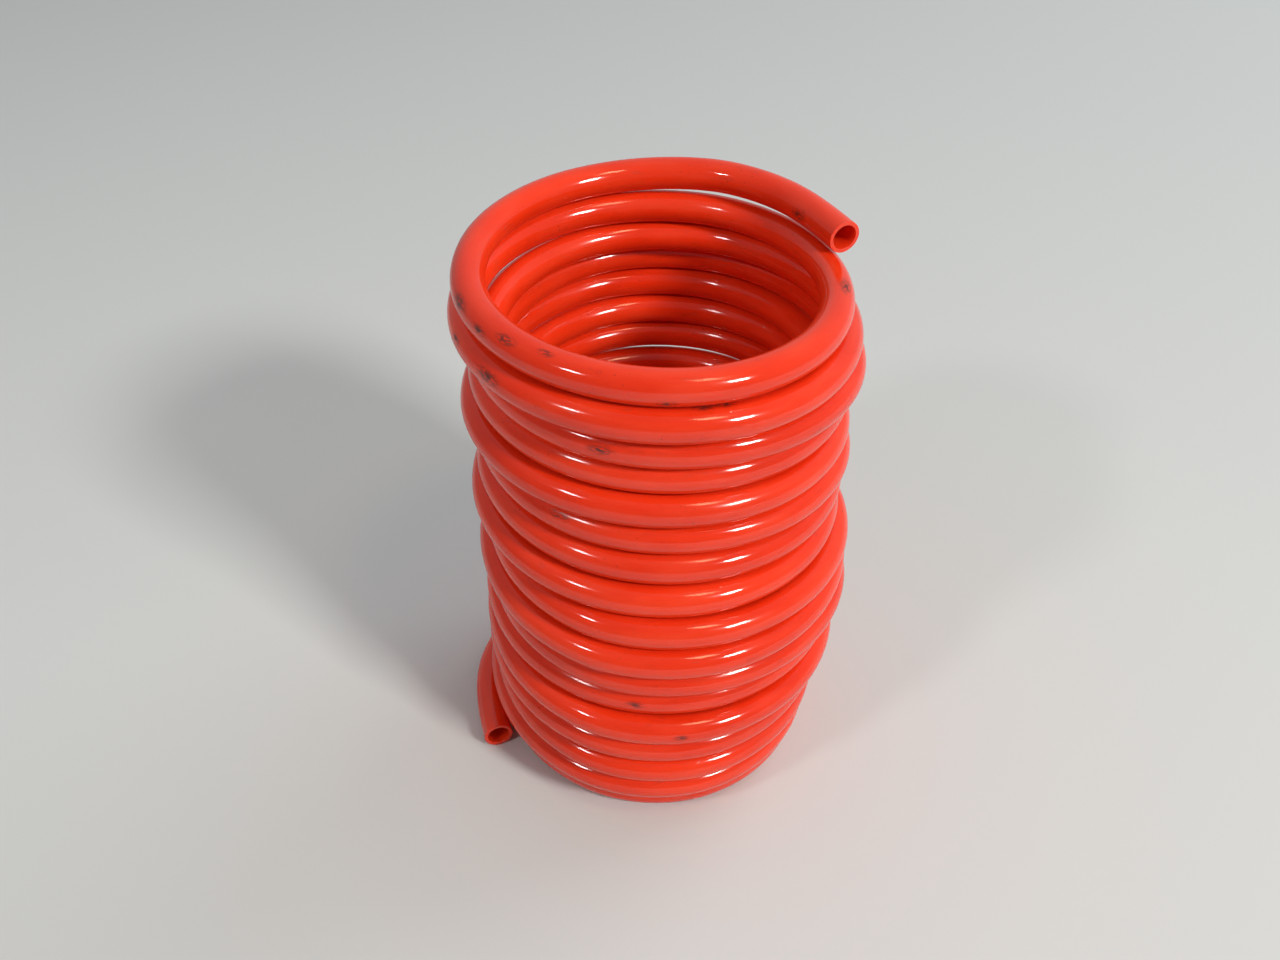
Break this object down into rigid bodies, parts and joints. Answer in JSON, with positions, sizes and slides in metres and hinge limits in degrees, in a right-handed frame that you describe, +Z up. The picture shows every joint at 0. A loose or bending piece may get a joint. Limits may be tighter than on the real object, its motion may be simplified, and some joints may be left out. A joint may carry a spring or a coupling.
{
  "type": "coiled air hose",
  "caption": "Recoil air hose: one glossy red nylon tube wound into a close upright coil with two plain square-cut ends, which stretches by twisting its tube.",
  "frame": {"origin": "on the surface that the coil stands on, under the middle of the hose's box", "axes": "+Z up along the coil's axis; +X to the right and +Y to the back, with the lower mouth at the front left facing -Y"},
  "size_m": [0.1636, 0.1661, 0.2354],
  "materials": {
    "hose": "glossy extruded nylon, red-orange, lightly scuffed"
  },
  "bodies": {
    "standing_turn": {"bottom_end": "hose", "bottom_tail": "hose", "turn_01_back": "hose", "turn_01_front": "hose"},
    "turn_02_back": {"turn_02_back": "hose"},
    "turn_02_front": {"turn_02_front": "hose"},
    "turn_03_back": {"turn_03_back": "hose"},
    "turn_03_front": {"turn_03_front": "hose"},
    "turn_04_back": {"turn_04_back": "hose"},
    "turn_04_front": {"turn_04_front": "hose"},
    "turn_05_back": {"turn_05_back": "hose"},
    "turn_05_front": {"turn_05_front": "hose"},
    "turn_06_back": {"turn_06_back": "hose"},
    "turn_06_front": {"turn_06_front": "hose"},
    "turn_07_back": {"turn_07_back": "hose"},
    "turn_07_front": {"turn_07_front": "hose"},
    "turn_08_back": {"turn_08_back": "hose"},
    "turn_08_front": {"turn_08_front": "hose"},
    "turn_09_back": {"turn_09_back": "hose"},
    "turn_09_front": {"turn_09_front": "hose"},
    "turn_10_back": {"turn_10_back": "hose"},
    "turn_10_front": {"turn_10_front": "hose"},
    "turn_11_back": {"turn_11_back": "hose"},
    "turn_11_front": {"turn_11_front": "hose"},
    "turn_12_back": {"turn_12_back": "hose"},
    "turn_12_front": {"turn_12_front": "hose"},
    "turn_13_back": {"turn_13_back": "hose"},
    "turn_13_front": {"turn_13_front": "hose"},
    "turn_14_back": {"turn_14_back": "hose"},
    "turn_14_front": {"turn_14_front": "hose"},
    "turn_15_back": {"turn_15_back": "hose"},
    "turn_15_front": {"turn_15_front": "hose"},
    "turn_16_back": {"turn_16_back": "hose"},
    "turn_16_front": {"turn_16_front": "hose"},
    "turn_17_back": {"turn_17_back": "hose"},
    "turn_17_front": {"turn_17_front": "hose"},
    "top_turn": {"top_tail": "hose", "top_end": "hose"}
  },
  "joints": [
    {"name": "stretch", "type": "hinge", "parent": "standing_turn", "child": "turn_02_back", "pos_m": [-0.06301, 0.00012, 0.01285], "axis": [0.0039, -0.9953, -0.0972], "range_deg": [0, 12]},
    {"name": "stretch_turn_02_front", "type": "hinge", "parent": "turn_02_back", "child": "turn_02_front", "pos_m": [0.06492, 0.00006, 0.01935], "axis": [-0.0098, 1, 0], "range_deg": [0, 24]},
    {"name": "stretch_turn_03_back", "type": "hinge", "parent": "turn_02_front", "child": "turn_03_back", "pos_m": [-0.06695, 0.00005, 0.02585], "axis": [-0.0109, -0.9957, -0.0916], "range_deg": [0, 24]},
    {"name": "stretch_turn_03_front", "type": "hinge", "parent": "turn_03_back", "child": "turn_03_front", "pos_m": [0.06682, 0.00003, 0.03235], "axis": [-0.0153, 0.9999, 0], "range_deg": [0, 24]},
    {"name": "stretch_turn_04_back", "type": "hinge", "parent": "turn_03_front", "child": "turn_04_back", "pos_m": [-0.06418, 0.00002, 0.03885], "axis": [-0.0171, -0.9953, -0.0954], "range_deg": [0, 24]},
    {"name": "stretch_turn_04_front", "type": "hinge", "parent": "turn_04_back", "child": "turn_04_front", "pos_m": [0.06771, 0.00002, 0.04535], "axis": [-0.0169, 0.9999, 0], "range_deg": [0, 24]},
    {"name": "stretch_turn_05_back", "type": "hinge", "parent": "turn_04_front", "child": "turn_05_back", "pos_m": [-0.06601, 0.00001, 0.05185], "axis": [-0.0185, -0.9955, -0.0929], "range_deg": [0, 24]},
    {"name": "stretch_turn_05_front", "type": "hinge", "parent": "turn_05_back", "child": "turn_05_front", "pos_m": [0.07241, -0.00001, 0.05835], "axis": [-0.0211, 0.9998, 0], "range_deg": [0, 24]},
    {"name": "stretch_turn_06_back", "type": "hinge", "parent": "turn_05_front", "child": "turn_06_back", "pos_m": [-0.06621, 0.00003, 0.06485], "axis": [-0.0147, -0.9956, -0.0926], "range_deg": [0, 24]},
    {"name": "stretch_turn_06_front", "type": "hinge", "parent": "turn_06_back", "child": "turn_06_front", "pos_m": [0.07051, 0.00007, 0.07135], "axis": [-0.0054, 1, 0], "range_deg": [0, 24]},
    {"name": "stretch_turn_07_back", "type": "hinge", "parent": "turn_06_front", "child": "turn_07_back", "pos_m": [-0.06598, 0.00006, 0.07785], "axis": [-0.0092, -0.9956, -0.0929], "range_deg": [0, 24]},
    {"name": "stretch_turn_07_front", "type": "hinge", "parent": "turn_07_back", "child": "turn_07_front", "pos_m": [0.07521, 0.00003, 0.08435], "axis": [-0.0135, 0.9999, 0], "range_deg": [0, 24]},
    {"name": "stretch_turn_08_back", "type": "hinge", "parent": "turn_07_front", "child": "turn_08_back", "pos_m": [-0.06322, 0.00001, 0.09085], "axis": [-0.0193, -0.9951, -0.0968], "range_deg": [0, 24]},
    {"name": "stretch_turn_08_front", "type": "hinge", "parent": "turn_08_back", "child": "turn_08_front", "pos_m": [0.07338, -0.00002, 0.09735], "axis": [-0.0225, 0.9997, 0], "range_deg": [0, 24]},
    {"name": "stretch_turn_09_back", "type": "hinge", "parent": "turn_08_front", "child": "turn_09_back", "pos_m": [-0.06715, 0.00001, 0.10385], "axis": [-0.0182, -0.9957, -0.0913], "range_deg": [0, 24]},
    {"name": "stretch_turn_09_front", "type": "hinge", "parent": "turn_09_back", "child": "turn_09_front", "pos_m": [0.07338, 0.00004, 0.11035], "axis": [-0.0121, 0.9999, 0], "range_deg": [0, 24]},
    {"name": "stretch_turn_10_back", "type": "hinge", "parent": "turn_09_front", "child": "turn_10_back", "pos_m": [-0.06348, 0.00008, 0.11685], "axis": [-0.0038, -0.9953, -0.0965], "range_deg": [0, 24]},
    {"name": "stretch_turn_10_front", "type": "hinge", "parent": "turn_10_back", "child": "turn_10_front", "pos_m": [0.06781, 0.00012, 0.12335], "axis": [0.0038, 1, 0], "range_deg": [0, 24]},
    {"name": "stretch_turn_11_back", "type": "hinge", "parent": "turn_10_front", "child": "turn_11_back", "pos_m": [-0.06898, 0.00013, 0.12985], "axis": [0.0053, -0.996, -0.089], "range_deg": [0, 24]},
    {"name": "stretch_turn_11_front", "type": "hinge", "parent": "turn_11_back", "child": "turn_11_front", "pos_m": [0.06771, 0.00016, 0.13635], "axis": [0.0132, 0.9999, 0], "range_deg": [0, 24]},
    {"name": "stretch_turn_12_back", "type": "hinge", "parent": "turn_11_front", "child": "turn_12_back", "pos_m": [-0.06618, 0.0002, 0.14285], "axis": [0.0203, -0.9955, -0.0926], "range_deg": [0, 24]},
    {"name": "stretch_turn_12_front", "type": "hinge", "parent": "turn_12_back", "child": "turn_12_front", "pos_m": [0.06965, 0.00022, 0.14935], "axis": [0.0238, 0.9997, 0], "range_deg": [0, 24]},
    {"name": "stretch_turn_13_back", "type": "hinge", "parent": "turn_12_front", "child": "turn_13_back", "pos_m": [-0.06515, 0.00021, 0.15585], "axis": [0.0225, -0.9953, -0.094], "range_deg": [0, 24]},
    {"name": "stretch_turn_13_front", "type": "hinge", "parent": "turn_13_back", "child": "turn_13_front", "pos_m": [0.06778, 0.0002, 0.16235], "axis": [0.0207, 0.9998, 0], "range_deg": [0, 24]},
    {"name": "stretch_turn_14_back", "type": "hinge", "parent": "turn_13_front", "child": "turn_14_back", "pos_m": [-0.07081, 0.00021, 0.16885], "axis": [0.0207, -0.996, -0.0867], "range_deg": [0, 24]},
    {"name": "stretch_turn_14_front", "type": "hinge", "parent": "turn_14_back", "child": "turn_14_front", "pos_m": [0.06585, 0.00023, 0.17535], "axis": [0.029, 0.9996, 0], "range_deg": [0, 24]},
    {"name": "stretch_turn_15_back", "type": "hinge", "parent": "turn_14_front", "child": "turn_15_back", "pos_m": [-0.06698, 0.00023, 0.18185], "axis": [0.0273, -0.9954, -0.0915], "range_deg": [0, 24]},
    {"name": "stretch_turn_15_front", "type": "hinge", "parent": "turn_15_back", "child": "turn_15_front", "pos_m": [0.07061, 0.00021, 0.18835], "axis": [0.0216, 0.9998, 0], "range_deg": [0, 24]},
    {"name": "stretch_turn_16_back", "type": "hinge", "parent": "turn_15_front", "child": "turn_16_back", "pos_m": [-0.06585, 0.00013, 0.19485], "axis": [0.0056, -0.9956, -0.0931], "range_deg": [0, 24]},
    {"name": "stretch_turn_16_front", "type": "hinge", "parent": "turn_16_back", "child": "turn_16_front", "pos_m": [0.06765, 0.00009, 0.20135], "axis": [-0.0019, 1, 0], "range_deg": [0, 24]},
    {"name": "stretch_turn_17_back", "type": "hinge", "parent": "turn_16_front", "child": "turn_17_back", "pos_m": [-0.07248, 0.00008, 0.20785], "axis": [-0.0034, -0.9964, -0.0848], "range_deg": [0, 24]},
    {"name": "stretch_turn_17_front", "type": "hinge", "parent": "turn_17_back", "child": "turn_17_front", "pos_m": [0.06285, 0.00011, 0.21435], "axis": [0.002, 1, 0], "range_deg": [0, 24]},
    {"name": "stretch_top_turn", "type": "hinge", "parent": "turn_17_front", "child": "top_turn", "pos_m": [-0.07054, 0.00012, 0.22085], "axis": [0.0035, -0.9962, -0.0871], "range_deg": [0, 24]}
  ],
  "couplings": [
    {"joint": "stretch_turn_02_front", "follows": "stretch", "ratio": 2},
    {"joint": "stretch_turn_03_back", "follows": "stretch", "ratio": 2},
    {"joint": "stretch_turn_03_front", "follows": "stretch", "ratio": 2},
    {"joint": "stretch_turn_04_back", "follows": "stretch", "ratio": 2},
    {"joint": "stretch_turn_04_front", "follows": "stretch", "ratio": 2},
    {"joint": "stretch_turn_05_back", "follows": "stretch", "ratio": 2},
    {"joint": "stretch_turn_05_front", "follows": "stretch", "ratio": 2},
    {"joint": "stretch_turn_06_back", "follows": "stretch", "ratio": 2},
    {"joint": "stretch_turn_06_front", "follows": "stretch", "ratio": 2},
    {"joint": "stretch_turn_07_back", "follows": "stretch", "ratio": 2},
    {"joint": "stretch_turn_07_front", "follows": "stretch", "ratio": 2},
    {"joint": "stretch_turn_08_back", "follows": "stretch", "ratio": 2},
    {"joint": "stretch_turn_08_front", "follows": "stretch", "ratio": 2},
    {"joint": "stretch_turn_09_back", "follows": "stretch", "ratio": 2},
    {"joint": "stretch_turn_09_front", "follows": "stretch", "ratio": 2},
    {"joint": "stretch_turn_10_back", "follows": "stretch", "ratio": 2},
    {"joint": "stretch_turn_10_front", "follows": "stretch", "ratio": 2},
    {"joint": "stretch_turn_11_back", "follows": "stretch", "ratio": 2},
    {"joint": "stretch_turn_11_front", "follows": "stretch", "ratio": 2},
    {"joint": "stretch_turn_12_back", "follows": "stretch", "ratio": 2},
    {"joint": "stretch_turn_12_front", "follows": "stretch", "ratio": 2},
    {"joint": "stretch_turn_13_back", "follows": "stretch", "ratio": 2},
    {"joint": "stretch_turn_13_front", "follows": "stretch", "ratio": 2},
    {"joint": "stretch_turn_14_back", "follows": "stretch", "ratio": 2},
    {"joint": "stretch_turn_14_front", "follows": "stretch", "ratio": 2},
    {"joint": "stretch_turn_15_back", "follows": "stretch", "ratio": 2},
    {"joint": "stretch_turn_15_front", "follows": "stretch", "ratio": 2},
    {"joint": "stretch_turn_16_back", "follows": "stretch", "ratio": 2},
    {"joint": "stretch_turn_16_front", "follows": "stretch", "ratio": 2},
    {"joint": "stretch_turn_17_back", "follows": "stretch", "ratio": 2},
    {"joint": "stretch_turn_17_front", "follows": "stretch", "ratio": 2},
    {"joint": "stretch_top_turn", "follows": "stretch", "ratio": 2}
  ]
}
